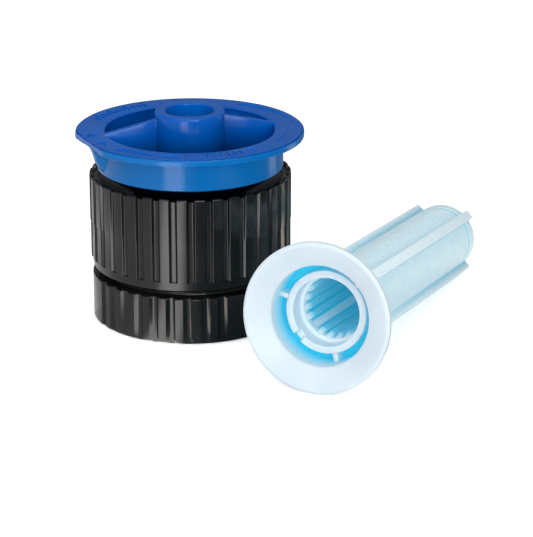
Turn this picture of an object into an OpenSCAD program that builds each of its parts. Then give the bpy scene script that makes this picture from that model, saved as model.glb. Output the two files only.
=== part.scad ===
// Variable-arc spray nozzle for a pop-up sprinkler riser, with its finned filter screen.
// The nozzle stands on the floor, and the screen lies beside it.
// Origin: centre of the nozzle base's bottom face. +Z is up, millimetres.

/* [Nozzle base] */
// Diameter over the grip ribs of the base
base_d = 20; // [19.5:0.1:21]
// Height of the base's ribbed outer ring
base_h = 4.8; // [4.6:0.05:4.8]
// Major diameter of the riser thread
thread_major_d = 15.875; // [15.5:0.125:16]
// Threads per inch of the riser thread
threads_per_inch = 27; // [24:1:32]
// Length of the riser thread, up from the base's bottom face
thread_len = 5.8; // [5:0.1:5.8]
// Grip grooves in each of the base's three ribbed sectors
base_grooves = 9; // [5:1:9]
// Depth of the bore, up to the seat for the screen's flange
seat_z = 7.5; // [7.3:0.05:7.5]

/* [Arc collar] */
// Diameter over the grip ribs of the collar
collar_d = 20.4; // [20:0.1:21]
// Number of grip grooves around the collar
collar_grooves = 36; // [24:1:36]
// Fall of the collar in one full turn, which is the height of the open spray slot
arc_pitch = 0.5; // [0.3:0.05:0.5]

/* [Deflector] */
// Outer diameter of the deflector's rim
rim_d = 23; // [22:0.1:24]
// Height of the rim's top face
rim_top = 19.55; // [19.4:0.05:19.7]
// Outer diameter of the skirt under the rim
skirt_d = 18.8; // [18.6:0.02:19]
// Height of the hub's top face
hub_top = 21.4; // [21.2:0.05:21.6]
// Direction of the fixed edge of the spray arc, from +X towards +Y
fixed_edge = 214; // [0:1:359]

/* [Radius screw] */
// Diameter of the screw's head
head_d = 4.7; // [4.2:0.1:4.7]
// Diameter of the screw's shank
shank_d = 3; // [2.8:0.1:3]
// Travel of the throttle plug from open to closed
throttle_travel = 2.5; // [1:0.1:2.5]

/* [Filter screen] */
// Outer diameter of the screen's flared flange
flange_d = 14.7; // [14:0.1:14.8]
// Length from the flange's rim to the ends of the fins
screen_len = 38.4; // [36:0.1:40]
// Outer diameter of the basket
basket_d = 7.1; // [7:0.1:7.3]
// Diameter over the four fins
fin_d = 8.7; // [8.4:0.1:9]
// Fine grooves around the outside of the basket
ring_grooves = 42; // [20:1:42]
// Ribs along the inside of the basket, counting the four that become fins
inner_ribs = 20; // [20:4:20]
// Place of the flange's centre on the floor beside the nozzle
screen_at = [11.56, -22.7]; // [-40:0.1:40]
// Direction in which the basket points, from +X towards +Y
screen_turn = 66.4; // [0:0.1:90]

/* [Hidden] */
$fn = 96;
eps = 0.01;
// Gaps between parts that turn or slide on one another
run_gap = 0.05;

// Riser thread: a 60 degree thread's minor diameter is 1.0825 pitches under its major diameter
thread_minor_r = (thread_major_d - 1.0825 * 25.4 / threads_per_inch) / 2;
// Relief between the thread's upper end and the seat
relief_r = 7.75;
relief_run = 0.3;
neck_r = 8.7;
neck_top = 9.2;
port_r = 6.2;
base_r = base_d / 2;
base_lead_h = 0.2;
base_lead_w = 0.15;
base_break = 0.1;
neck_break = 0.2;

// Grip grooves: trapezoids, narrower at their floor
groove_floor_w = 0.42;
groove_mouth_w = 1.05;
groove_depth = 0.3;
// The mouth is measured this far above the ribs
groove_over = 0.2;
groove_pitch = 10;
// The base's grooves lie in three sectors, and the first is centred here
base_sector = 248;

// Hub insert: welded into the top of the base
insert_lip_r = 7.2;
insert_lip_top = 9.8;
insert_ring_r = 5.2;
insert_low = 8.3;
tube_r = 3.1;
tube_top = 14.4;
spoke_w = 0.9;
// Corner radius of the hexagonal socket that keeps the plug from turning
socket_r = 2.45;

// Arc collar
collar_low = 5.4;
collar_top = 15.1;
collar_r = collar_d / 2;
collar_break = 0.1;
// The plain ring under the ribs stands this far inside them
ring_inset = 0.27;
ring_lead = 0.3;
rib_low = 6.5;
// The ribs stand above the collar's crown, which runs in to the dish
crown_z = 14.8;
crown_r = 9.77;
dish_r = 9.3;
bore_r = neck_r + run_gap;
bore_lead = 0.3;
web_low = 10.9;
lip_in_r = 5;
lip_out_r = 5.8;
lip_z = 12.2;
lip_root = 0.5;
// The spiral's walls stand this far inside the edges of the land that carries it
lip_inset = 0.08;
// The spiral is cut in this many flat steps, which overlap by this angle
steps = 36;
step_overlap = 0.7;

// Seal in the collar's bore
seal_r = 0.29;
seal_z = 8.5;
seal_mid_r = neck_r + seal_r + 0.03;
seal_groove_h = 0.64;
seal_groove_r = seal_mid_r + seal_r + eps;

// Deflector
rim_h = 0.7;
skirt_r = skirt_d / 2;
skirt_low = 15.8;
bowl_r = 8.75;
hub_r = 3.5;
hub_break = 0.15;
hub_bore_r = 2.44;
head_seat = 18.5;
boss_top = 13.3;
floor_in_z = 14.7;
floor_out_z = 16.7;
web_w = 0.7;
web_turn = 13;
// The webs stand this much higher at the hub than at the rim
web_rise = 1.25;
// Flat across the rim beside the fixed edge, with its distance from the axis
flat_turn = fixed_edge - 10.5;
flat_r = 10.93;
gusset_turn = fixed_edge - 4.7;
gusset_w = 2.6;
gusset_r = 10.7;
gusset_mid_r = 10.05;
gusset_low = 16.1;
// Channels in the rim's top face, each from an angle on, and sunken arrowheads
channel_r = 9.7;
channel_w = 1;
channel_depth = 0.14;
channels = [[226, 38], [330, 90]];
arrow_r = 0.75;
arrow_depth = 0.25;
// Raised tick marks on the rim's top face
tick_in_r = 9.6;
tick_w = 0.24;
tick_h = 0.12;
tick_turn = 4;

// Radius screw and its seal
head_top = 19.95;
head_r = head_d / 2;
head_break = 0.15;
shank_r = shank_d / 2;
shank_low = 6;
shank_lead = 0.3;
drive_turn = 35;
drive_w = 0.6;
drive_depth = 0.7;
screw_seal_r = 0.26;
screw_seal_z = 18.2;
seal_pocket_r = 2.05;
seal_pocket_low = screw_seal_z - 0.3;
clip_low = 13.95;
clip_h = 0.4;
clip_in_r = 1.2;
clip_out_r = 2;
clip_gap_w = 1.2;
// Play of the clip in the screw's groove, shared by both sides
clip_play = 0.04;

// Filter screen, in its own frame: z runs from the flange's rim to the basket's end
flange_r = flange_d / 2;
flange_h = 0.6;
funnel_depth = 1.1;
pocket_r = 4.88;
neck_out_r = 5.25;
ring_z = 2.86;
ring_r = 4.04;
ring_in_r = 3.35;
pocket_floor = 4.4;
basket_start = 6;
basket_r = basket_d / 2;
basket_in_r = 3.1;
// The bore narrows to the basket's inside at this depth, where the inner ribs' ramps start
bore_end = 5;
rib_in_r = 2.75;
rib_w = 0.55;
rib_ramp = 1.1;
rib_sink = 0.15;
dome_h = 1.2;
dome_wall = 0.8;
fin_w = 1;
fin_sink = 0.25;
strut_w = 0.5;
struts = [225, 105, 345];
ring_notch_w = 0.9;
// Outside grooves, as shares of their pitch: start of the floor, end of the floor, end of the groove
ring_start = basket_start + 1;
ring_pitch = (screen_len - 9.4) / ring_grooves;
ring_depth = 0.14;
ring_shares = [0.2, 0.45, 0.65];
screen_slope = asin((flange_r - basket_r) / screen_len);

// Throttle plug
// When closed, the plug stands this far above the ring of a screen that hangs from the seat
closed_gap = 0.16;
plug_low = seat_z - ring_z + closed_gap + throttle_travel;
plug_disc_h = 0.7;
plug_disc_r = 3.5;
plug_hex_r = socket_r - run_gap;
plug_top = 11;

// Tube between two radii, from height low to height high
module ring(r_out, r_in, low, high) {
    difference() {
        translate([0, 0, low]) cylinder(r = r_out, h = high - low);
        translate([0, 0, low - 1]) cylinder(r = r_in, h = high - low + 2);
    }
}

// Ring of round section, for a seal
module o_ring(r_mid, r_section, z) {
    translate([0, 0, z]) rotate_extrude() translate([r_mid, 0]) circle(r = r_section, $fn = 32);
}

// One grip groove at angle a, cut to a depth into a wall of radius r
module grip_groove(r, a, depth, low, high) {
    floor_w = groove_floor_w / 2;
    mouth_w = groove_mouth_w / 2;
    rotate([0, 0, a]) translate([0, 0, low]) linear_extrude(height = high - low)
        polygon([[r - depth, -floor_w], [r - groove_depth, -floor_w], [r + groove_over, -mouth_w],
            [r + groove_over, mouth_w], [r - groove_depth, floor_w], [r - depth, floor_w]]);
}

// Point at a radius and an angle
function polar(r, a) = [r * cos(a), r * sin(a)];

// Stepped spiral between two radii: step k spans from low_first - k * low_fall up to
// high_first - k * high_fall. The first step starts at the fixed edge, and each runs into the next
module spiral(r_in, r_out, low_first, low_fall, high_first, high_fall) {
    turn = 360 / steps;
    for (k = [0:steps - 1]) {
        end = k < steps - 1 ? turn + step_overlap : turn;
        rotate([0, 0, fixed_edge + k * turn]) translate([0, 0, low_first - k * low_fall])
            linear_extrude(height = high_first - low_first + k * (low_fall - high_fall))
                polygon([polar(r_in, 0), polar(r_out, 0), polar(r_out, end), polar(r_in, end)]);
    }
}

module nozzle_base() {
    color("#26262a") difference() {
        rotate_extrude() polygon([[thread_minor_r, 0], [base_r - base_lead_w, 0],
            [base_r - base_lead_w, base_lead_h], [base_r, base_lead_h], [base_r, base_h - base_break],
            [base_r - base_break, base_h], [neck_r, base_h], [neck_r, neck_top - neck_break],
            [neck_r - neck_break, neck_top], [port_r, neck_top], [port_r, seat_z], [relief_r, seat_z],
            [relief_r, thread_len + relief_run], [thread_minor_r, thread_len]]);
        for (s = [0:2], k = [0:base_grooves - 1])
            grip_groove(base_r, base_sector + s * 120 + (k - (base_grooves - 1) / 2) * groove_pitch,
                groove_depth + eps, base_lead_h, base_h + 1);
    }
}

module hub_insert() {
    color("#3a3a3e") difference() {
        union() {
            ring(port_r, insert_ring_r, insert_low, neck_top);
            ring(insert_lip_r, insert_ring_r, neck_top, insert_lip_top);
            translate([0, 0, insert_low]) cylinder(r = tube_r, h = tube_top - insert_low);
            for (a = [45:90:315])
                rotate([0, 0, a]) translate([tube_r - 0.5, -spoke_w / 2, insert_low])
                    cube([insert_ring_r - tube_r + 0.8, spoke_w, insert_lip_top - insert_low]);
        }
        translate([0, 0, insert_low - 1]) cylinder(r = socket_r, h = tube_top - insert_low + 2, $fn = 6);
    }
}

module arc_collar() {
    ring_r = collar_r - ring_inset;
    seal_half = seal_groove_h / 2;
    color("#222226") {
        difference() {
            rotate_extrude() polygon([[bore_r + bore_lead, collar_low], [ring_r - ring_lead, collar_low],
                [ring_r, collar_low + ring_lead], [ring_r, rib_low], [collar_r, rib_low],
                [collar_r, collar_top - collar_break], [collar_r - collar_break, collar_top],
                [crown_r, collar_top], [crown_r, crown_z], [dish_r, crown_z], [lip_out_r, lip_z - 0.05],
                [lip_out_r, lip_z - lip_root], [lip_in_r, lip_z - lip_root], [lip_in_r, web_low],
                [bore_r, web_low], [bore_r, seal_z + seal_half], [seal_groove_r, seal_z + seal_half],
                [seal_groove_r, seal_z - seal_half], [bore_r, seal_z - seal_half],
                [bore_r, collar_low + bore_lead]]);
            for (k = [0:collar_grooves - 1]) {
                grip_groove(collar_r, k * 360 / collar_grooves, groove_depth + eps, rib_low, crown_z);
                grip_groove(collar_r, k * 360 / collar_grooves, collar_r - crown_r + 0.1, crown_z,
                    collar_top + 1);
            }
        }
        spiral(lip_in_r + lip_inset, lip_out_r - lip_inset, lip_z - lip_root - 0.3, 0, lip_z + arc_pitch,
            arc_pitch / steps);
    }
}

module collar_seal() {
    color("#161616") o_ring(seal_mid_r, seal_r, seal_z);
}

// Concave gusset under the rim at the fixed edge of the arc
module edge_gusset() {
    rotate([0, 0, gusset_turn]) translate([0, gusset_w / 2, 0]) rotate([90, 0, 0])
        linear_extrude(height = gusset_w)
            polygon([[skirt_r - 0.3, gusset_low - 0.2], [skirt_r, gusset_low], [gusset_mid_r, gusset_low + 1],
                [gusset_mid_r + 0.3, gusset_low + 2], [gusset_r, rim_top - rim_h],
                [gusset_r, rim_top - rim_h / 2], [skirt_r - 0.3, rim_top - rim_h / 2]]);
}

// One of the two webs that tie the hub to the bowl's wall
module hub_web(a) {
    in_r = hub_r - 0.3;
    out_r = bowl_r + 0.1;
    rotate([0, 0, a]) translate([0, web_w / 2, 0]) rotate([90, 0, 0]) linear_extrude(height = web_w)
        polygon([[in_r, floor_in_z - 0.5], [out_r, floor_out_z - 0.5], [out_r, rim_top],
            [in_r, rim_top + web_rise]]);
}

// Sunken arrowhead in the rim's top face, pointing round the rim
module arrow_pocket(a, r, way) {
    rotate([0, 0, a]) translate([r, 0, rim_top - arrow_depth]) rotate([0, 0, way * 90])
        cylinder(r = arrow_r, h = 1, $fn = 3);
}

// Raised tick marks on the rim's top face, from angle a on
module tick_row(a, count) {
    for (k = [0:count - 1])
        rotate([0, 0, a + tick_turn * k]) translate([tick_in_r, -tick_w / 2, rim_top - 0.1])
            cube([k % 3 == 0 ? 1.2 : 0.7, tick_w, tick_h + 0.1]);
}

module deflector() {
    rim_r = rim_d / 2;
    color("#0a4fb0") {
        difference() {
            union() {
                rotate_extrude() polygon([[0, boss_top], [lip_out_r, boss_top], [skirt_r, skirt_low],
                    [skirt_r, rim_top - rim_h], [rim_r, rim_top - rim_h], [rim_r, rim_top],
                    [bowl_r, rim_top], [bowl_r, floor_out_z], [hub_r, floor_in_z],
                    [hub_r, hub_top - hub_break], [hub_r - hub_break, hub_top], [0, hub_top]]);
                hub_web(web_turn);
                hub_web(web_turn + 180);
                edge_gusset();
            }
            translate([0, 0, head_seat]) cylinder(r = hub_bore_r, h = 4);
            translate([0, 0, seal_pocket_low]) cylinder(r = seal_pocket_r, h = 1);
            translate([0, 0, tube_top - 4]) cylinder(r = shank_r + run_gap, h = 10);
            translate([0, 0, tube_top - 4]) cylinder(r = tube_r, h = 4);
            rotate([0, 0, flat_turn]) translate([flat_r, -4.5, rim_top - 2]) cube([2, 9, 3]);
            for (c = channels)
                rotate([0, 0, c[0]]) rotate_extrude(angle = c[1])
                    translate([channel_r, rim_top - channel_depth]) square([channel_w, 1]);
            arrow_pocket(fixed_edge - 3, 10.2, 1);
            arrow_pocket(fixed_edge - 20, 10.1, -1);
            arrow_pocket(307, 10.1, 1);
        }
        spiral(tube_r + 0.2, lip_out_r - 0.1, lip_z + run_gap + arc_pitch, arc_pitch / steps,
            boss_top + 0.2, 0);
        tick_row(268, 9);
        tick_row(118, 11);
    }
}

module radius_screw() {
    clip_top = clip_low + clip_h + clip_play;
    color("#b9b4a8") difference() {
        rotate_extrude() polygon([[0, shank_low], [shank_r - shank_lead, shank_low],
            [shank_r, shank_low + shank_lead], [shank_r, clip_low], [clip_in_r, clip_low],
            [clip_in_r, clip_top], [shank_r, clip_top], [shank_r, head_seat + 2 * eps],
            [head_r, head_seat + 2 * eps], [head_r, head_top - head_break], [head_r - head_break, head_top],
            [0, head_top]]);
        rotate([0, 0, drive_turn]) translate([-head_d, -drive_w / 2, head_top - drive_depth])
            cube([2 * head_d, drive_w, 2]);
    }
}

module screw_seal() {
    color("#161616") o_ring(shank_r + screw_seal_r + 0.01, screw_seal_r, screw_seal_z);
}

module screw_clip() {
    low = clip_low + clip_play / 2;
    color("#c4c4c4") difference() {
        ring(clip_out_r, clip_in_r, low, low + clip_h);
        translate([0, -clip_gap_w / 2, low - 1]) cube([clip_out_r + 1, clip_gap_w, clip_h + 2]);
    }
}

module throttle_plug() {
    color("#e6e6e0") difference() {
        union() {
            translate([0, 0, plug_low]) cylinder(r = plug_disc_r, h = plug_disc_h);
            translate([0, 0, plug_low + plug_disc_h - eps])
                cylinder(r = plug_hex_r, h = plug_top - plug_low - plug_disc_h + eps, $fn = 6);
        }
        translate([0, 0, plug_low - 1]) cylinder(r = shank_r + run_gap, h = plug_top);
    }
}

// Screen in its own frame, standing on its flange's rim
module screen_body() {
    difference() {
        rotate_extrude() polygon(concat(
            [[0, screen_len + dome_h], [0, screen_len + dome_h - dome_wall],
                [basket_in_r - 0.6, screen_len + dome_h - dome_wall], [basket_in_r, screen_len - 0.2],
                [basket_in_r, bore_end], [ring_in_r, bore_end - 0.3], [ring_in_r, ring_z], [ring_r, ring_z],
                [ring_r, pocket_floor], [pocket_r, pocket_floor], [pocket_r, funnel_depth],
                [flange_r - 0.3, 0], [flange_r, 0.1], [flange_r, flange_h],
                [neck_out_r, funnel_depth + flange_h], [neck_out_r, pocket_floor + 0.4],
                [ring_r + 0.2, basket_start - 0.4], [basket_r, basket_start]],
            [for (k = [0:ring_grooves - 1]) let (z = ring_start + k * ring_pitch) each [
                [basket_r, z],
                [basket_r - ring_depth, z + ring_shares[0] * ring_pitch],
                [basket_r - ring_depth, z + ring_shares[1] * ring_pitch],
                [basket_r, z + ring_shares[2] * ring_pitch]]],
            [[basket_r, screen_len - 0.6],
                for (a = [15:15:75]) [basket_r - 1.4 * (1 - cos(a)), screen_len - 0.4 + 1.55 * sin(a)],
                [basket_r - 1.6, screen_len + dome_h]]));
        rotate([0, 0, 45]) translate([ring_in_r - 0.3, -ring_notch_w / 2, ring_z - 1])
            cube([1.2, ring_notch_w, 1.5]);
    }
    for (a = struts)
        rotate([0, 0, a]) translate([ring_r - 0.2, -strut_w / 2, ring_z])
            cube([pocket_r - ring_r + 0.36, strut_w, pocket_floor - ring_z + 0.1]);
    for (a = [45:90:315])
        rotate([0, 0, a]) translate([basket_r - fin_sink, -fin_w / 2, basket_start - 0.2])
            cube([(fin_d - basket_d) / 2 + fin_sink, fin_w, screen_len - basket_start + 0.2]);
    for (k = [0:inner_ribs - 1])
        if (k % 5 != 0)
            rotate([0, 0, 45 + k * 360 / inner_ribs]) translate([0, rib_w / 2, 0]) rotate([90, 0, 0])
                linear_extrude(height = rib_w) inner_rib();
}

// Side outline of an inner rib, whose front end is a ramp
module inner_rib() {
    low = bore_end + 0.15;
    high = screen_len + 0.5;
    root = basket_in_r + rib_sink;
    polygon([[root, low], [basket_in_r - 0.03, low], [rib_in_r, low + rib_ramp], [rib_in_r, high],
        [root, high]]);
}

module filter_screen() {
    color("#cfe9ef") translate([screen_at[0], screen_at[1], flange_r * cos(screen_slope)])
        rotate([0, 90 + screen_slope, screen_turn]) screen_body();
}

nozzle_base();
hub_insert();
arc_collar();
collar_seal();
deflector();
radius_screw();
screw_seal();
screw_clip();
throttle_plug();
filter_screen();
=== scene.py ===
"""Looks for the variable-arc spray nozzle and the filter screen that lies beside it.

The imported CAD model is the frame. The nozzle's base, collar and deflector and the filter screen
are built here as fine meshes round the same axes and sizes, and ride on the CAD bodies. The small
parts inside keep their CAD shapes and get materials and softly broken edges.
Lengths below are millimetres; meshes are made in metres.
"""

import math

import bmesh
import bpy
from mathutils import Matrix, Vector


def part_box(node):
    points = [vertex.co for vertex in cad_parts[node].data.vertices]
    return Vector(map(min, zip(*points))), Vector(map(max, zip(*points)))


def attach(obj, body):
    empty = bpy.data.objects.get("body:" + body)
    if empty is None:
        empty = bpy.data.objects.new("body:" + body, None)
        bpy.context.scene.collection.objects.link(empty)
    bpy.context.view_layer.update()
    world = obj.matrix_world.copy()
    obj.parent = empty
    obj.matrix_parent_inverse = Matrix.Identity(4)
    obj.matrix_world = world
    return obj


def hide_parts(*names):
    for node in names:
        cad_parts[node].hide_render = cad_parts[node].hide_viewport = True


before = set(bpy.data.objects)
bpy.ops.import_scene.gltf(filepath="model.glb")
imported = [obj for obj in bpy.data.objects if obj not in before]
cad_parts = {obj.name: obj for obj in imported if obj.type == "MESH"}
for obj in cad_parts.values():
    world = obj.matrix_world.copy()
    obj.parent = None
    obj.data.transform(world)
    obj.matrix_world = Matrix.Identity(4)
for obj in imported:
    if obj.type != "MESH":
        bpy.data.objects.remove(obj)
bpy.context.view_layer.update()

MM = 0.001


# ---------------------------------------------------------------- sizes from the frame

def span(node):
    """Lowest and highest corner of a CAD node, in millimetres."""
    low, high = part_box(node)
    return low / MM, high / MM


base_high = span("nozzle_base")[1]
collar_low, collar_high = span("arc_collar")
cap_high = span("deflector")[1]

BASE_R = base_high.x
BASE_H = 4.8
BASE_TOP = base_high.z
NECK_R = 8.7
NECK_BORE_R = 6.2
THREAD_MINOR_R = 7.428
THREAD_PITCH = 25.4 / 27
THREAD_LEN = 5.8
RELIEF_R = 7.75
SEAT_Z = 7.5
COLLAR_R = collar_high.x
COLLAR_LOW = collar_low.z
COLLAR_TOP = collar_high.z
RIM_TOP = 19.55
RIM_UNDER = RIM_TOP - 0.7
RIM_R = cap_high.y
SKIRT_R = 9.4
SKIRT_LOW = 15.8
HUB_R = 3.5
HUB_TOP = cap_high.z
FIXED_EDGE = math.radians(214)
LIP_Z = 12.2
ARC_PITCH = 0.5


# ---------------------------------------------------------------- small maths

ROUND_SHARE = 0.45


def smooth(low, high, x):
    """0 below low, 1 above high, with a soft step in between."""
    t = min(max((x - low) / (high - low), 0.0), 1.0)
    return t * t * (3 - 2 * t)


def wrapped(angle):
    """An angle brought into -pi..pi."""
    return (angle + math.pi) % (2 * math.pi) - math.pi


def rounded(corners, steps=4):
    """A closed outline with its corners rounded. Each corner is (x, y) or (x, y, radius)."""
    out = []
    count = len(corners)
    for i, corner in enumerate(corners):
        radius = corner[2] if len(corner) > 2 else 0.0
        here = Vector(corner[:2])
        before = Vector(corners[i - 1][:2]) - here
        after = Vector(corners[(i + 1) % count][:2]) - here
        if radius <= 0:
            out.append(tuple(here))
            continue
        half = before.angle(after) / 2
        longest = ROUND_SHARE * min(before.length, after.length)
        reach = min(radius / math.tan(half), longest)
        start = here + before.normalized() * reach
        end = here + after.normalized() * reach
        for k in range(steps + 1):
            t = k / steps
            out.append(tuple(start * (1 - t) ** 2 + here * 2 * t * (1 - t) + end * t * t))
    return out


def even_angles(count):
    """Angles of count equal steps round the axis."""
    return [2 * math.pi * k / count for k in range(count)]


# ---------------------------------------------------------------- mesh building

SHARP_ANGLE = math.radians(40)


def mesh_object(name, verts, faces):
    """A smooth-shaded mesh object whose edges above the sharp angle stay crisp."""
    mesh = bpy.data.meshes.new(name)
    mesh.from_pydata([Vector(v) * MM for v in verts], [], faces)
    bm = bmesh.new()
    bm.from_mesh(mesh)
    bmesh.ops.recalc_face_normals(bm, faces=bm.faces)
    bm.to_mesh(mesh)
    bm.free()
    for polygon in mesh.polygons:
        polygon.use_smooth = True
    mesh.set_sharp_from_angle(angle=SHARP_ANGLE)
    piece = bpy.data.objects.new(name, mesh)
    bpy.context.scene.collection.objects.link(piece)
    return piece


def mark(piece, name, value):
    """Stores a number on each vertex, which the plastic's colour follows."""
    layer = piece.data.attributes.new(name, "FLOAT", "POINT")
    layer.data.foreach_set("value", [value(v.co / MM) for v in piece.data.vertices])


def lathe(outline, angles, warp=None):
    """Vertices and faces of a closed (r, z) outline turned round Z.

    Warp, where there is one, moves each point by its angle."""
    verts = []
    for angle in angles:
        c, s = math.cos(angle), math.sin(angle)
        for r, z in outline:
            if warp:
                r, z = warp(angle, r, z)
            verts.append((r * c, r * s, z))
    rows, count = len(outline), len(angles)
    faces = []
    for a in range(count):
        b = (a + 1) % count
        for i in range(rows):
            j = (i + 1) % rows
            faces.append((a * rows + i, b * rows + i, b * rows + j, a * rows + j))
    return verts, faces


def slab(outline, thickness, bevel, matrix):
    """Vertices and faces of an (x, z) outline made thick along y, with bevelled edges."""
    bm = bmesh.new()
    ring = [bm.verts.new((x, -thickness / 2, z)) for x, z in outline]
    face = bm.faces.new(ring)
    grown = bmesh.ops.extrude_face_region(bm, geom=[face])
    moved = [v for v in grown["geom"] if isinstance(v, bmesh.types.BMVert)]
    bmesh.ops.translate(bm, verts=moved, vec=(0, thickness, 0))
    bmesh.ops.bevel(bm, geom=bm.edges[:], offset=bevel, segments=2, profile=0.5, affect="EDGES")
    bmesh.ops.transform(bm, matrix=matrix, verts=bm.verts)
    bm.verts.index_update()
    verts = [tuple(v.co) for v in bm.verts]
    faces = [tuple(v.index for v in f.verts) for f in bm.faces]
    bm.free()
    return verts, faces


def joined(*shapes):
    """One list of vertices and faces from several."""
    verts, faces = [], []
    for v, f in shapes:
        start = len(verts)
        verts += v
        faces += [tuple(i + start for i in face) for face in f]
    return verts, faces


def turned(degrees):
    """A turn about Z."""
    return Matrix.Rotation(math.radians(degrees), 4, "Z")


# ---------------------------------------------------------------- materials

RAMP_ENDS = (0.35, 0.65)


def node_material(name):
    """A new material with its node tree and its Principled shader."""
    material = bpy.data.materials.new(name)
    material.use_nodes = True
    tree = material.node_tree
    return material, tree, tree.nodes["Principled BSDF"]


def add_noise(tree, scale, detail, roughness):
    """A noise texture in the piece's own space. Scale counts features per metre."""
    place = tree.nodes.new("ShaderNodeTexCoord")
    tex = tree.nodes.new("ShaderNodeTexNoise")
    tex.inputs["Scale"].default_value = scale
    tex.inputs["Detail"].default_value = detail
    tex.inputs["Roughness"].default_value = roughness
    tree.links.new(place.outputs["Object"], tex.inputs["Vector"])
    return tex


def add_ramp(tree, source, low, high):
    """A colour ramp from low to high over a factor output."""
    ramp = tree.nodes.new("ShaderNodeValToRGB")
    for end, position, colour in zip(ramp.color_ramp.elements, RAMP_ENDS, (low, high)):
        end.position = position
        end.color = (*colour, 1)
    tree.links.new(source, ramp.inputs["Fac"])
    return ramp


def add_range(tree, source, low, high):
    """A factor output stretched to low..high."""
    node = tree.nodes.new("ShaderNodeMapRange")
    node.inputs["To Min"].default_value = low
    node.inputs["To Max"].default_value = high
    tree.links.new(source, node.inputs["Value"])
    return node


def add_bump(tree, shader, source, depth_mm, strength):
    """A raised surface that follows a factor output."""
    bump = tree.nodes.new("ShaderNodeBump")
    bump.inputs["Distance"].default_value = depth_mm * MM
    bump.inputs["Strength"].default_value = strength
    tree.links.new(source, bump.inputs["Height"])
    tree.links.new(bump.outputs["Normal"], shader.inputs["Normal"])


def add_skin(tree, shader, patches, rough, grain, bump_mm, strength):
    """Gloss that varies in patches and a fine grain. Patches and grain are noise settings."""
    uneven = add_noise(tree, *patches)
    gloss = add_range(tree, uneven.outputs["Fac"], *rough)
    tree.links.new(gloss.outputs["Result"], shader.inputs["Roughness"])
    skin = add_noise(tree, *grain)
    add_bump(tree, shader, skin.outputs["Fac"], bump_mm, strength)


def moulded(name, low, high, rough, grain, bump_mm):
    """Moulded plastic: slight colour flow, uneven gloss and a fine skin."""
    material, tree, shader = node_material(name)
    flow = add_noise(tree, 180, 3, 0.5)
    colour = add_ramp(tree, flow.outputs["Fac"], low, high)
    tree.links.new(colour.outputs["Color"], shader.inputs["Base Color"])
    add_skin(tree, shader, (420, 5, 0.65), rough, (grain, 3, 0.55), bump_mm, 0.35)
    return material


def rubber(name):
    """Matt black rubber."""
    material, tree, shader = node_material(name)
    flow = add_noise(tree, 900, 4, 0.6)
    colour = add_ramp(tree, flow.outputs["Fac"], (0.012, 0.012, 0.012), (0.03, 0.03, 0.03))
    tree.links.new(colour.outputs["Color"], shader.inputs["Base Color"])
    shader.inputs["Roughness"].default_value = 0.75
    add_bump(tree, shader, flow.outputs["Fac"], 0.02, 0.4)
    return material


def steel(name, tone):
    """Turned steel: fine concentric tool marks round the part's axis."""
    material, tree, shader = node_material(name)
    shader.inputs["Metallic"].default_value = 1.0
    place = tree.nodes.new("ShaderNodeTexCoord")
    rings = tree.nodes.new("ShaderNodeTexWave")
    rings.wave_type = "RINGS"
    rings.rings_direction = "Z"
    rings.inputs["Scale"].default_value = 2200
    rings.inputs["Distortion"].default_value = 1.5
    tree.links.new(place.outputs["Object"], rings.inputs["Vector"])
    flow = add_noise(tree, 700, 4, 0.6)
    dark = tuple(0.75 * t for t in tone)
    colour = add_ramp(tree, flow.outputs["Fac"], dark, tone)
    tree.links.new(colour.outputs["Color"], shader.inputs["Base Color"])
    gloss = add_range(tree, rings.outputs["Fac"], 0.22, 0.4)
    tree.links.new(gloss.outputs["Result"], shader.inputs["Roughness"])
    add_bump(tree, shader, rings.outputs["Fac"], 0.004, 0.5)
    return material


def tinted(tree, source, attribute, colour):
    """A colour output turned towards another colour where the mesh's attribute says so."""
    place = tree.nodes.new("ShaderNodeAttribute")
    place.attribute_name = attribute
    mix = tree.nodes.new("ShaderNodeMix")
    mix.data_type = "RGBA"
    mix.inputs["B"].default_value = (*colour, 1)
    tree.links.new(place.outputs["Fac"], mix.inputs["Factor"])
    tree.links.new(source, mix.inputs["A"])
    return mix.outputs["Result"]


def blue_plastic(name):
    """Glossy blue plastic of one colour, with painted light and shade: deep blue in the bowl, a
    paler blue painted on the outer wall as painted light, and nearly black under the skirt as
    painted shade.
    """
    material = moulded(name, (0.0, 0.095, 0.455), (0.0, 0.112, 0.52),
                       rough=(0.1, 0.18), grain=2600, bump_mm=0.004)
    tree = material.node_tree
    shader = tree.nodes["Principled BSDF"]
    shader.inputs["Specular IOR Level"].default_value = 0.3
    source = shader.inputs["Base Color"].links[0].from_socket
    # Painted light: the outer wall is given a paler, more cyan blue than the bowl.
    painted_light_outer = tinted(tree, source, "outer", (0.0, 0.135, 0.43))
    # Painted shade: the cone and the boss under the skirt are turned nearly black.
    painted_shade_under = tinted(tree, painted_light_outer, "under", (0.0, 0.004, 0.01))
    tree.links.new(painted_shade_under, shader.inputs["Base Color"])
    return material


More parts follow.
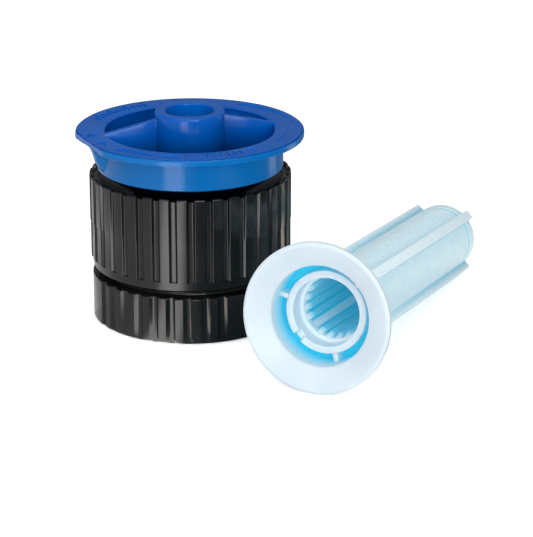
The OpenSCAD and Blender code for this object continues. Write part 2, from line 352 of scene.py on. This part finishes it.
def screen_plastic(name):
    """Translucent pale-blue plastic, paler and more cyan along the basket, with painted light: a
    deeper cyan inside the basket and the pocket, and an emission on the basket, its inside and the
    pocket.
    """
    material, tree, shader = node_material(name)
    flow = add_noise(tree, 160, 3, 0.5)
    flange = add_ramp(tree, flow.outputs["Fac"], (0.6, 0.69, 0.76), (0.65, 0.73, 0.79))
    pale = tinted(tree, flange.outputs["Color"], "basket", (0.66, 0.79, 0.84))
    # Painted light: inside the basket and in the pocket the colour is turned to a deeper cyan,
    # standing for light bouncing between the walls.
    deep = tinted(tree, pale, "inner", (0.0, 0.4, 0.56))
    deepest = tinted(tree, deep, "pocket", (0.0, 0.42, 0.58))
    tree.links.new(deepest, shader.inputs["Base Color"])
    shader.inputs["Specular IOR Level"].default_value = 0.35
    # Painted light: an emission on the basket, its inside and the pocket, strongest in the pocket,
    # stands for light passing across the translucent plastic.
    dark = tree.nodes.new("ShaderNodeRGB")
    dark.outputs["Color"].default_value = (0, 0, 0, 1)
    painted_emission_inside = tinted(tree, dark.outputs["Color"], "basket", (0.09, 0.1, 0.11))
    painted_emission_inside = tinted(tree, painted_emission_inside, "inner", (0.0, 0.12, 0.17))
    painted_emission = tinted(tree, painted_emission_inside, "pocket", (0.02, 0.22, 0.3))
    tree.links.new(painted_emission, shader.inputs["Emission Color"])
    shader.inputs["Emission Strength"].default_value = 1.0
    shader.inputs["Subsurface Weight"].default_value = 0.35
    shader.inputs["Subsurface Radius"].default_value = (0.35, 0.8, 1.0)
    shader.inputs["Subsurface Scale"].default_value = 0.8 * MM
    add_skin(tree, shader, (500, 4, 0.6), (0.32, 0.5), (2600, 3, 0.5), 0.008, 0.3)
    return material


BLACK = moulded("black_plastic", (0.005, 0.005, 0.0055), (0.01, 0.01, 0.0105),
                rough=(0.14, 0.24), grain=2200, bump_mm=0.006)
INSERT_BLACK = moulded("insert_plastic", (0.012, 0.012, 0.013), (0.022, 0.022, 0.023),
                       rough=(0.4, 0.55), grain=2600, bump_mm=0.012)
BLUE = blue_plastic("blue_plastic")
WHITE = moulded("white_acetal", (0.72, 0.72, 0.68), (0.8, 0.8, 0.76),
                rough=(0.4, 0.5), grain=2600, bump_mm=0.01)
RUBBER = rubber("seal_rubber")
STEEL = steel("turned_steel", (0.72, 0.66, 0.56))
CLIP_STEEL = steel("clip_steel", (0.66, 0.66, 0.66))
SCREEN_BLUE = screen_plastic("screen_plastic")


def finish_piece(piece, material, body, node):
    """Gives a piece its material and the body it rides on, and hides the CAD node it stands for."""
    piece.data.materials.append(material)
    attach(piece, body)
    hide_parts(node)


# ---------------------------------------------------------------- grip ribs

GROOVE_DEPTH = 0.3
GROOVE_FLOOR = math.radians(1.2)
GROOVE_MOUTH = math.radians(2.35)
GRIP_PITCH = math.radians(10)
GRIP_COUNT = 36
STRAIGHT_SHARE = 0.6
HALF_SAMPLES = (0.6, 1.1, 1.25, 1.45, 1.7, 1.95, 2.15, 2.3, 2.45, 2.7, 3.6)
GRIP_SAMPLES = (-5, *[-d for d in HALF_SAMPLES], *HALF_SAMPLES)


def grip_angles():
    """Angles round the part, close together on the flanks of the grooves."""
    angles = [k * GRIP_PITCH + math.radians(d) for k in range(GRIP_COUNT) for d in GRIP_SAMPLES]
    return sorted(a % (2 * math.pi) for a in angles)


def rib_height(angle, first=0.0):
    """1 on a rib and 0 on a groove's floor."""
    offset = abs((angle - first + GRIP_PITCH / 2) % GRIP_PITCH - GRIP_PITCH / 2)
    straight = min(max((offset - GROOVE_FLOOR) / (GROOVE_MOUTH - GROOVE_FLOOR), 0.0), 1.0)
    curved = smooth(GROOVE_FLOOR, GROOVE_MOUTH, offset)
    return STRAIGHT_SHARE * straight + (1 - STRAIGHT_SHARE) * curved


# ---------------------------------------------------------------- nozzle base

BASE_SECTOR = math.radians(248)
BASE_SECTOR_HALF = math.radians(45)
BASE_LEAD_H = 0.2
THREAD_DEPTH = 0.48
THREAD_ROWS = 61
THREAD_ROW_STEP = 0.09


def base_rib(angle):
    """Three ribbed sectors with smooth panels between them, which stand at the ribs' height."""
    offset = abs(wrapped(3 * wrapped(angle - BASE_SECTOR))) / 3
    if offset > BASE_SECTOR_HALF:
        return 1.0
    return rib_height(angle, BASE_SECTOR)


def thread_depth(angle, z):
    """Depth of the right-hand riser thread at a point on the bore's wall, faded at both ends."""
    turn = (z / THREAD_PITCH - angle / (2 * math.pi)) % 1
    groove = 1 - smooth(0.12, 0.42, abs(turn - 0.5))
    fade = 1 - smooth(THREAD_LEN - 0.9, THREAD_LEN - 0.3, z)
    return THREAD_DEPTH * groove * smooth(0.25, 0.9, z) * fade


def build_base():
    """The ribbed base with its neck, its bore and the riser thread."""
    floor_r = BASE_R - GROOVE_DEPTH

    def warp(angle, r, z):
        if r > floor_r and BASE_LEAD_H < z < BASE_H + 0.01:
            r = floor_r + (r - floor_r) * base_rib(angle)
        if abs(r - THREAD_MINOR_R) < 0.001:
            r += thread_depth(angle, z)
        return r, z

    thread_rows = [(THREAD_MINOR_R, THREAD_LEN - 0.1 - THREAD_ROW_STEP * k)
                   for k in range(THREAD_ROWS)]
    outline = rounded([
        (THREAD_MINOR_R + 0.2, 0, 0.15), (BASE_R - 0.35, 0, 0.15), (BASE_R - 0.15, BASE_LEAD_H),
        (BASE_R, BASE_LEAD_H + 0.03, 0.03), (BASE_R, BASE_H, 0.12), (NECK_R, BASE_H, 0.1),
        (NECK_R, BASE_TOP, 0.2), (NECK_BORE_R, BASE_TOP, 0.1), (NECK_BORE_R, SEAT_Z, 0.1),
        (RELIEF_R, SEAT_Z, 0.05), (RELIEF_R, THREAD_LEN + 0.3, 0.05),
        (THREAD_MINOR_R + 0.02, THREAD_LEN, 0.03),
    ]) + thread_rows
    piece = mesh_object("base_shell", *lathe(outline, grip_angles(), warp))
    finish_piece(piece, BLACK, "base", "nozzle_base")


# ---------------------------------------------------------------- arc collar

PARTING_Z = 10.4
RIB_LOW = 6.5
CROWN_R = 9.77
CROWN_Z = 14.8
CAVITY_R = 8.75
CAVITY_TOP = 10.9
SEAL_R = 9.32
SEAL_LOW = 8.18
SEAL_TOP = 8.82
LIP_R = 5.0


def helix(angle, foot):
    """Height of the arc valve's spiral, which falls by one pitch in a turn from the fixed edge."""
    share = ((angle - FIXED_EDGE) % (2 * math.pi)) / (2 * math.pi)
    return foot + ARC_PITCH * (1 - share)


def build_collar():
    """The collar, whose ribs stand up above the crown like a low crown gear."""
    floor_r = COLLAR_R - GROOVE_DEPTH
    ring_r = COLLAR_R - 0.27
    rib_r = COLLAR_R - 0.05
    lip_mark = LIP_Z + ARC_PITCH

    def warp(angle, r, z):
        rib = rib_height(angle)
        if r > floor_r and z > RIB_LOW - 0.001:
            r = floor_r + (r - floor_r) * rib
        if r > CROWN_R - 0.1 and z > CROWN_Z:
            z = CROWN_Z + (z - CROWN_Z) * rib
        if 4.9 < r < 5.85 and z > LIP_Z:
            z = helix(angle, LIP_Z) - (lip_mark - z)
        return r, z

    outline = rounded([
        # outside wall, from the foot up to the crown
        (9.05, COLLAR_LOW, 0.1), (ring_r - 0.3, COLLAR_LOW, 0.08), (ring_r, COLLAR_LOW + 0.3, 0.15),
        (ring_r, RIB_LOW - 0.01, 0.03), (rib_r, RIB_LOW, 0.1), (rib_r, PARTING_Z - 0.05),
        (COLLAR_R, PARTING_Z + 0.02), (COLLAR_R, COLLAR_TOP, 0.14), (CROWN_R, COLLAR_TOP, 0.1),
        (CROWN_R - 0.04, CROWN_Z, 0.05), (9.3, CROWN_Z, 0.08), (9.22, CROWN_Z - 0.2, 0.1),
        # dish and the spiral lip of the arc valve
        (5.8, LIP_Z - 0.05, 0.1), (5.75, lip_mark, 0.08), (5.08, lip_mark, 0.08),
        (LIP_R, LIP_Z - 0.5, 0.0), (LIP_R, CAVITY_TOP, 0.1),
        # cavity with the groove of its seal
        (CAVITY_R, CAVITY_TOP, 0.1), (CAVITY_R, SEAL_TOP, 0.03), (SEAL_R, SEAL_TOP, 0.03),
        (SEAL_R, SEAL_LOW, 0.03), (CAVITY_R, SEAL_LOW, 0.03), (CAVITY_R, COLLAR_LOW + 0.3, 0.1),
    ])
    piece = mesh_object("collar_shell", *lathe(outline, grip_angles(), warp))
    finish_piece(piece, BLACK, "collar", "arc_collar")


# ---------------------------------------------------------------- deflector

# Each channel is (start, length) in degrees; each arrow is (angle, radius, way it points)
CHANNELS = ((226, 38), (330, 90))
CHANNEL_DEPTH = 0.14
ARROWS = ((FIXED_EDGE - math.radians(3), 10.2, 1), (FIXED_EDGE - math.radians(20), 10.1, -1),
          (math.radians(307), 10.1, 1))
ARROW_SIZE = 0.75
ARROW_DEPTH = 0.25
FLAT_AT = FIXED_EDGE - math.radians(10.5)
FLAT_R = 10.93
FLAT_HALF = math.acos(FLAT_R / RIM_R)
FLAT_FROM_R = 10.4
GUSSET_AT = FIXED_EDGE - math.radians(8)
GUSSET_HALF = math.radians(7)
GUSSET_STEPS = 12
BOSS_LOW = 13.3
SOCKET_LOW = 14.4
SOCKET_STEP = 17.9
SOCKET_SHOULDER = 18.5
SHELL_STEPS = 720
WEB_ANGLES = (13, 193)
TICK_R = 9.6
TICK_PITCH = 4
LONG_TICK = 1.2
SHORT_TICK = 0.7


def channel_depth(angle, r):
    """Depth of the shallow channels in the rim's top face."""
    across = smooth(9.68, 9.76, r) * (1 - smooth(10.64, 10.72, r))
    along = 0.0
    for start, length in CHANNELS:
        offset = (math.degrees(angle) - start) % 360
        along = max(along, smooth(0, 0.6, offset) * (1 - smooth(length - 0.6, length, offset)))
    return CHANNEL_DEPTH * across * along


def arrow_depth(angle, r):
    """Depth of the sunken arrowheads that point round the rim."""
    deepest = 0.0
    for at, at_r, way in ARROWS:
        x = r * math.cos(angle - at) - at_r
        y = r * math.sin(angle - at) * way
        edge = max(-y - ARROW_SIZE / 2, y / 2 + abs(x) * math.sqrt(3) / 2 - ARROW_SIZE / 2)
        deepest = max(deepest, 1 - smooth(-0.06, 0.04, edge))
    return ARROW_DEPTH * deepest


def rim_radius(angle, r):
    """The rim's radius, cut back to a flat beside the fixed edge of the spray arc."""
    offset = wrapped(angle - FLAT_AT)
    if abs(offset) > FLAT_HALF:
        return r
    flat = FLAT_R / math.cos(offset)
    return FLAT_FROM_R + (r - FLAT_FROM_R) * (flat - FLAT_FROM_R) / (RIM_R - FLAT_FROM_R)


def deflector_shell():
    """The skirt, rim, bowl and hub as one turned shape."""
    spiral_mark = LIP_Z + 0.05

    def warp(angle, r, z):
        if z < BOSS_LOW - 0.1 and 3.15 < r < 5.75:
            z = helix(angle, spiral_mark) + (z - spiral_mark)
        if z > RIM_TOP - 0.02 and 8.9 < r < 11.4:
            z -= max(channel_depth(angle, r), arrow_depth(angle, r))
        if r > 10.2 and abs(z - RIM_UNDER) < 0.05:
            z += 0.42 * (1 - smooth(8.5, 10.5, abs(math.degrees(wrapped(angle - GUSSET_AT)))))
        if r > FLAT_FROM_R:
            r = rim_radius(angle, r)
        return r, z

    rim_rows = [(11.3 - 0.1 * k, RIM_TOP) for k in range(24)]
    outer = rounded([
        (3.1, SOCKET_LOW), (3.1, BOSS_LOW), (3.3, BOSS_LOW, 0.02), (3.32, spiral_mark, 0.04),
        (5.68, spiral_mark, 0.04), (5.7, BOSS_LOW, 0.02), (5.8, BOSS_LOW, 0.02), (9.2, 15.66),
        (SKIRT_R, SKIRT_LOW, 0.08), (SKIRT_R, RIM_UNDER, 0.3), (RIM_R, RIM_UNDER, 0.1),
        (RIM_R, RIM_TOP, 0.14),
    ], 3)
    inner = rounded([
        (8.75, RIM_TOP, 0.12), (8.7, 16.7, 0.4), (HUB_R, 14.7, 0.4), (HUB_R, HUB_TOP, 0.22),
        (2.44, HUB_TOP, 0.12), (2.44, SOCKET_SHOULDER), (2.05, SOCKET_SHOULDER),
        (2.05, SOCKET_STEP), (1.55, SOCKET_STEP), (1.55, SOCKET_LOW),
    ], 3)
    return lathe(outer + rim_rows + inner, even_angles(SHELL_STEPS), warp)


def web(degrees):
    """One of the two sloping webs from the hub to the bowl's wall."""
    root, tip = HUB_R - 0.3, 8.85
    outline = [(root, 14.2), (tip, 16.2), (tip, RIM_TOP - 0.02), (root, RIM_TOP + 1.25)]
    return slab(outline, 0.7, 0.09, turned(degrees))


def sector(outline, first, last, steps):
    """A closed (r, z) outline turned from one angle to another, with both ends closed."""
    verts, faces = [], []
    rows = len(outline)
    for k in range(steps + 1):
        angle = first + (last - first) * k / steps
        verts += [(r * math.cos(angle), r * math.sin(angle), z) for r, z in outline]
    for k in range(steps):
        for i in range(rows):
            j = (i + 1) % rows
            faces.append((k * rows + i, k * rows + j, (k + 1) * rows + j, (k + 1) * rows + i))
    faces.append(tuple(range(rows)))
    faces.append(tuple(range(steps * rows, (steps + 1) * rows)))
    return verts, faces


def gusset():
    """The gusset under the rim at the fixed edge, which fades into the skirt on one side."""
    root = SKIRT_R - 0.3
    outline = rounded([
        (root, 15.95), (SKIRT_R, 16.1, 0.05), (9.75, 16.6, 0.2), (10.05, 17.1, 0.2),
        (10.2, 17.7, 0.2), (10.4, 18.25, 0.3), (10.75, 19.0, 0.1), (10.8, RIM_TOP - 0.2),
        (root, RIM_TOP - 0.2),
    ])
    verts, faces = sector(outline, GUSSET_AT - GUSSET_HALF, GUSSET_AT + GUSSET_HALF, GUSSET_STEPS)
    faded = []
    for x, y, z in verts:
        r = math.hypot(x, y)
        offset = math.degrees(wrapped(math.atan2(y, x) - GUSSET_AT))
        scale = (root + (r - root) * (1 - smooth(-3, 5, offset))) / r
        faded.append((x * scale, y * scale, z))
    return faded, faces


def ticks(first, count):
    """Raised tick marks round the rim, with a long one at every third place."""
    low, high = RIM_TOP - 0.1, RIM_TOP + 0.12
    shapes = []
    for k in range(count):
        end = TICK_R + (LONG_TICK if k % 3 == 0 else SHORT_TICK)
        outline = [(TICK_R, low), (end, low), (end, high), (TICK_R, high)]
        shapes.append(slab(outline, 0.24, 0.05, turned(first + TICK_PITCH * k)))
    return joined(*shapes)


def on_outer_wall(at):
    """1 on the skirt's outside, under the rim and round the rim's edge, where the blue is painted
    paler as painted light.
    """
    return float(math.hypot(at.x, at.y) > (9.1 if at.z < RIM_TOP - 0.3 else 11.38))


def painted_shade_under_skirt(at):
    """1 on the cone and the boss below the skirt's foot, which are painted nearly black as painted
    shade.
    """
    return float(math.hypot(at.x, at.y) < SKIRT_R - 0.05 and at.z < SKIRT_LOW - 0.01)


def build_deflector():
    """The blue deflector with its bowl, webs, gusset and tick marks."""
    webs = [web(a) for a in WEB_ANGLES]
    shape = joined(deflector_shell(), *webs, gusset(), ticks(268, 9), ticks(118, 11))
    piece = mesh_object("deflector_cap", *shape)
    # The outer mark carries the painted light of the outer wall.
    mark(piece, "outer", on_outer_wall)
    # The under mark carries the painted shade under the skirt.
    mark(piece, "under", painted_shade_under_skirt)
    finish_piece(piece, BLUE, "base", "deflector")


# ---------------------------------------------------------------- filter screen

SCREEN_LEN = 38.4
SCREEN_AT = Vector((11.56, -22.7))
SCREEN_TURN = math.radians(66.4)
FLANGE_R = 7.35
BASKET_R = 3.55
SCREEN_SLOPE = math.asin((FLANGE_R - BASKET_R) / SCREEN_LEN)
RING_Z = 2.86
RING_R = 4.04
RING_IN_R = 3.35
POCKET_R = 4.88
POCKET_FLOOR = 4.4
BASKET_START = 6.0
BORE_END = 5.0
HOOP_PITCH = 0.69
HOOP_H = 0.58
HOOP_IN_R = 3.08
RIB_IN_R = 2.75
FIN_R = 4.35
FIN_ANGLES = (45, 135, 225, 315)
STRUT_ANGLES = (225, 105, 345)
NOTCH_AT = math.radians(45)
FLANGE_STEPS = 240
BASKET_STEPS = 120
DOME_LOW = SCREEN_LEN - 0.95
DOME_IN = SCREEN_LEN + 0.4


def screen_matrix():
    """Carries the screen's own frame, with z along its axis, to its place on the floor."""
    place = Matrix.Translation((SCREEN_AT.x, SCREEN_AT.y, FLANGE_R * math.cos(SCREEN_SLOPE)))
    turn = Matrix.Rotation(SCREEN_TURN, 4, "Z")
    lie = Matrix.Rotation(math.pi / 2 + SCREEN_SLOPE, 4, "Y")
    return place @ (turn @ lie)


def flange_shell():
    """The flared flange, its pocket and the ring in the middle, with the notch in its lip."""

    def warp(angle, r, z):
        if z < RING_Z + 0.4 and RING_IN_R - 0.1 < r < RING_R + 0.1:
            offset = abs(wrapped(angle - NOTCH_AT))
            share = 1 if z < RING_Z + 0.2 else 0.4
            z += 0.5 * (1 - smooth(math.radians(5), math.radians(8), offset)) * share
        return r, z

    outline = rounded([
        (HOOP_IN_R, BASKET_START + 0.6, 0.0), (HOOP_IN_R, BORE_END, 0.1),
        (RING_IN_R, BORE_END - 0.3, 0.1), (RING_IN_R, RING_Z + 0.9), (RING_IN_R, RING_Z, 0.1),
        (RING_R, RING_Z, 0.1), (RING_R, RING_Z + 0.9), (RING_R, POCKET_FLOOR, 0.15),
        (POCKET_R, POCKET_FLOOR, 0.15), (POCKET_R, 1.1, 0.35),
        (FLANGE_R - 0.35, 0.02, 0.2), (FLANGE_R, 0.12, 0.1), (FLANGE_R, 0.6, 0.15),
        (5.25, 1.7, 0.3), (5.25, POCKET_FLOOR + 0.4, 0.3), (4.2, BASKET_START - 0.4, 0.2),
        (BASKET_R, BASKET_START, 0.1), (BASKET_R, BASKET_START + 0.6, 0.0),
    ])
    return lathe(outline, even_angles(FLANGE_STEPS), warp)


def struts():
    """The three struts that hold the ring in the flange."""
    outline = [(RING_R - 0.15, RING_Z + 0.02), (POCKET_R + 0.12, RING_Z + 0.02),
               (POCKET_R + 0.12, POCKET_FLOOR + 0.1), (RING_R - 0.15, POCKET_FLOOR + 0.1)]
    return joined(*[slab(outline, 0.5, 0.08, turned(a)) for a in STRUT_ANGLES])


def hoops():
    """The fine hoops of the basket, with a slot between each pair."""
    first = BASKET_START + 0.75
    count = int((SCREEN_LEN - 0.9 - first) / HOOP_PITCH)
    angles = even_angles(BASKET_STEPS)
    shapes = []
    for k in range(count):
        z = first + k * HOOP_PITCH
        top = z + HOOP_H
        outline = rounded([(HOOP_IN_R, z, 0.05), (BASKET_R, z, 0.08), (BASKET_R, top, 0.08),
                           (HOOP_IN_R, top, 0.05)], 2)
        shapes.append(lathe(outline, angles))
    return joined(*shapes)


def inner_ribs():
    """Ribs along the inside of the basket with ramped front ends, left out behind the fins."""
    low, high = BORE_END + 0.15, SCREEN_LEN + 0.5
    root = HOOP_IN_R + 0.25
    outline = [(HOOP_IN_R - 0.01, low), (root, low), (root, high), (RIB_IN_R, high),
               (RIB_IN_R, low + 1.1)]
    turns = [45 + 18 * k for k in range(20) if k % 5]
    return joined(*[slab(outline, 0.55, 0.06, turned(a)) for a in turns])


def fins():
    """The four fins outside, each standing on a wide land that closes the slots behind it."""
    low, root = BASKET_START - 0.2, HOOP_IN_R - 0.02
    outline = [(root, low), (FIN_R, low), (FIN_R, SCREEN_LEN - 0.12), (FIN_R - 0.12, SCREEN_LEN),
               (root, SCREEN_LEN)]
    return joined(*[slab(outline, 1.0, 0.09, turned(a)) for a in FIN_ANGLES])


def dome():
    """The closed, rounded end of the basket."""
    end = SCREEN_LEN + 1.2
    outline = rounded([(0.0, end), (BASKET_R, end, 1.3), (BASKET_R, DOME_LOW, 0.05),
                       (HOOP_IN_R, DOME_LOW, 0.05), (HOOP_IN_R, DOME_IN, 0.4), (0.0, DOME_IN)], 6)
    return lathe(outline, even_angles(BASKET_STEPS))


def mark_screen(piece, matrix):
    """Marks the inside, the pocket and the basket on the screen's mesh, where the plastic is given
    painted light: a deeper cyan and an emission.
    """
    back = matrix.inverted()

    def inner(point):
        """How deep a point sits inside the basket, with nothing on the closed end's outside."""
        at = back @ point
        depth = 1 - smooth(RING_IN_R - 0.02, RING_IN_R + 0.25, math.hypot(at.x, at.y))
        return 0.95 * depth * smooth(5.6, 6.6, at.z) * float(at.z < SCREEN_LEN + 0.45)

    def pocket(point):
        """How deep a point sits in the pocket between the flange and its ring."""
        at = back @ point
        r = math.hypot(at.x, at.y)
        depth = smooth(RING_Z + 0.3, POCKET_FLOOR, at.z) * smooth(RING_R - 0.1, RING_R, r)
        return depth * (1 - smooth(POCKET_R, POCKET_R + 0.1, r)) * float(at.z < POCKET_FLOOR + 0.3)

    def basket(point):
        """How far a point lies along the way from the flange to the basket."""
        at = back @ point
        return smooth(2.0, BASKET_START, at.z)

    mark(piece, "inner", inner)
    mark(piece, "pocket", pocket)
    mark(piece, "basket", basket)


def build_screen():
    """The filter screen, lying on the floor beside the nozzle."""
    matrix = screen_matrix()
    verts, faces = joined(flange_shell(), struts(), hoops(), inner_ribs(), fins(), dome())
    placed = [matrix @ Vector(v) for v in verts]
    piece = mesh_object("filter_basket", placed, faces)
    mark_screen(piece, matrix)
    finish_piece(piece, SCREEN_BLUE, "screen", "filter_screen")


# ---------------------------------------------------------------- carried-over CAD nodes

WELD_MM = 0.0005
BEVEL_ABOVE = math.radians(35)

# Each node's material and how far its edges are broken
DRESSED = (
    ("hub_insert", INSERT_BLACK, 0.05), ("collar_seal", RUBBER, 0.01), ("screw_seal", RUBBER, 0.01),
    ("radius_screw", STEEL, 0.05), ("screw_clip", CLIP_STEEL, 0.03), ("throttle_plug", WHITE, 0.06),
)


def dress(node, material, bevel_mm):
    """A CAD node that keeps its shape gets a material and softly broken edges."""
    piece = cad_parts[node]
    piece.data.materials.clear()
    piece.data.materials.append(material)
    weld = piece.modifiers.new("weld", "WELD")
    weld.merge_threshold = WELD_MM * MM
    bevel = piece.modifiers.new("bevel", "BEVEL")
    bevel.width = bevel_mm * MM
    bevel.segments = 2
    bevel.limit_method = "ANGLE"
    bevel.angle_limit = BEVEL_ABOVE
    bevel.harden_normals = True


def dress_cad_nodes():
    """Dresses every CAD node that no mesh stands for."""
    for node, material, bevel_mm in DRESSED:
        dress(node, material, bevel_mm)


# ---------------------------------------------------------------- floor, light and camera

FLOOR_HALF = 900
FLOOR_Z = -0.02

# Painted reflection: what glossy surfaces see of the table is colour by azimuth on the floor, a
# bright card in front and at the right, dark between
PAINTED_REFLECTION_GAIN = 4.0
PAINTED_REFLECTION_BANDS = (
    (-180, (0.16, 0.155, 0.15)), (-150, (0.15, 0.145, 0.14)), (-122, (0.2, 0.2, 0.205)),
    (-116, (1.0, 0.97, 0.93)), (-100, (1.0, 0.97, 0.93)), (-95, (0.13, 0.14, 0.15)),
    (-80, (0.02, 0.035, 0.04)), (-20, (0.012, 0.03, 0.036)), (14, (0.04, 0.05, 0.055)),
    (20, (0.34, 0.3, 0.26)), (28, (0.34, 0.3, 0.26)), (36, (0.04, 0.05, 0.055)),
    (110, (0.06, 0.065, 0.07)), (130, (0.2, 0.2, 0.2)),
)

# How bright the white room is to diffuse, glossy and camera rays
ROOM_DIFFUSE = 0.5
ROOM_GLOSSY = 0.16
ROOM_CAMERA = 1.0

# Each lamp's name, place, size and power in watts
LIGHTS = (
    ("key", (-180, -220, 330), (160, 160), 0.45),
    ("fill", (60, -330, 110), (240, 140), 0.62),
    ("top", (0, 60, 360), (240, 240), 0.15),
)
LIGHT_TARGET = (0.0, 0.0, 10.0)

CAMERA_AT = (0, -244.98, 89.63)
CAMERA_LENS = 169.8
CAMERA_SENSOR = 36
CAMERA_DOWN = 19.15
CAMERA_TURN = -1.8


def azimuth_ramp(tree, vector, stops):
    """Colours round the origin. Each stop is (azimuth, colour), between -180 and 180 degrees."""
    split = tree.nodes.new("ShaderNodeSeparateXYZ")
    tree.links.new(vector, split.inputs["Vector"])
    turn = tree.nodes.new("ShaderNodeMath")
    turn.operation = "ARCTAN2"
    tree.links.new(split.outputs["Y"], turn.inputs[0])
    tree.links.new(split.outputs["X"], turn.inputs[1])
    share = tree.nodes.new("ShaderNodeMapRange")
    share.inputs["From Min"].default_value = -math.pi
    share.inputs["From Max"].default_value = math.pi
    tree.links.new(turn.outputs["Value"], share.inputs["Value"])
    ramp = tree.nodes.new("ShaderNodeValToRGB")
    bands = ramp.color_ramp.elements
    while len(bands) < len(stops):
        bands.new(0.5)
    for band, (azimuth, colour) in zip(bands, stops):
        band.position = (azimuth + 180) / 360
        band.color = (*colour, 1)
    tree.links.new(share.outputs["Result"], ramp.inputs["Fac"])
    return ramp


def build_floor():
    """The pale floor, which glossy surfaces see as painted reflections: bright and dark bands by
    azimuth in place of the table.
    """
    corners = ((-1, -1), (1, -1), (1, 1), (-1, 1))
    verts = [(x * FLOOR_HALF, y * FLOOR_HALF, FLOOR_Z) for x, y in corners]
    floor = mesh_object("floor", verts, [(0, 1, 2, 3)])
    material, tree, shader = node_material("pale_floor")
    flow = add_noise(tree, 30, 3, 0.5)
    colour = add_ramp(tree, flow.outputs["Fac"], (0.9, 0.9, 0.9), (0.93, 0.93, 0.93))
    tree.links.new(colour.outputs["Color"], shader.inputs["Base Color"])
    shader.inputs["Roughness"].default_value = 0.9
    shader.inputs["Specular IOR Level"].default_value = 0.1
    rays = tree.nodes.new("ShaderNodeLightPath")
    lift = add_range(tree, rays.outputs["Is Camera Ray"], 0.0, 0.5)
    shader.inputs["Emission Color"].default_value = (1, 1, 1, 1)
    tree.links.new(lift.outputs["Result"], shader.inputs["Emission Strength"])
    place = tree.nodes.new("ShaderNodeNewGeometry")
    bands = azimuth_ramp(tree, place.outputs["Position"], PAINTED_REFLECTION_BANDS)
    # Painted reflection: an emission by azimuth that only glossy rays see.
    painted_emission = tree.nodes.new("ShaderNodeEmission")
    painted_emission.inputs["Strength"].default_value = PAINTED_REFLECTION_GAIN
    tree.links.new(bands.outputs["Color"], painted_emission.inputs["Color"])
    mix = tree.nodes.new("ShaderNodeMixShader")
    tree.links.new(rays.outputs["Is Glossy Ray"], mix.inputs["Fac"])
    tree.links.new(shader.outputs["BSDF"], mix.inputs[1])
    tree.links.new(painted_emission.outputs["Emission"], mix.inputs[2])
    tree.links.new(mix.outputs["Shader"], tree.nodes["Material Output"].inputs["Surface"])
    floor.data.materials.append(material)


def area_light(name, at, size, power):
    """A soft white lamp that looks at the nozzle."""
    light = bpy.data.lights.new(name, "AREA")
    light.shape = "RECTANGLE"
    light.size = size[0] * MM
    light.size_y = size[1] * MM
    light.energy = power
    lamp = bpy.data.objects.new(name, light)
    lamp.location = Vector(at) * MM
    aim = (Vector(LIGHT_TARGET) - Vector(at)).to_track_quat("-Z", "Y")
    lamp.rotation_euler = aim.to_euler()
    bpy.context.scene.collection.objects.link(lamp)


def build_world():
    """A white room for the camera, a soft one for diffuse light and a dark one for gloss."""
    world = bpy.data.worlds.new("studio")
    world.use_nodes = True
    tree = world.node_tree
    background = tree.nodes["Background"]
    rays = tree.nodes.new("ShaderNodeLightPath")
    dim = tree.nodes.new("ShaderNodeMix")
    dim.inputs["A"].default_value = ROOM_DIFFUSE
    dim.inputs["B"].default_value = ROOM_GLOSSY
    tree.links.new(rays.outputs["Is Glossy Ray"], dim.inputs["Factor"])
    seen = tree.nodes.new("ShaderNodeMix")
    seen.inputs["B"].default_value = ROOM_CAMERA
    tree.links.new(rays.outputs["Is Camera Ray"], seen.inputs["Factor"])
    tree.links.new(dim.outputs["Result"], seen.inputs["A"])
    tree.links.new(seen.outputs["Result"], background.inputs["Strength"])
    background.inputs["Color"].default_value = (1.0, 1.0, 1.0, 1)
    bpy.context.scene.world = world


def build_lights():
    """The room and its lamps."""
    build_world()
    for lamp in LIGHTS:
        area_light(*lamp)


def build_camera():
    """The camera, in front of the nozzle and looking down on it."""
    camera_data = bpy.data.cameras.new("camera")
    camera_data.lens = CAMERA_LENS
    camera_data.sensor_width = CAMERA_SENSOR
    camera_data.clip_start = 0.01
    camera_data.clip_end = 10
    camera = bpy.data.objects.new("camera", camera_data)
    camera.location = Vector(CAMERA_AT) * MM
    camera.rotation_euler = (math.radians(90 - CAMERA_DOWN), 0, math.radians(CAMERA_TURN))
    bpy.context.scene.collection.objects.link(camera)
    bpy.context.scene.camera = camera
    bpy.context.scene.view_settings.view_transform = "Standard"


build_base()
build_collar()
build_deflector()
build_screen()
dress_cad_nodes()
build_floor()
build_lights()
build_camera()
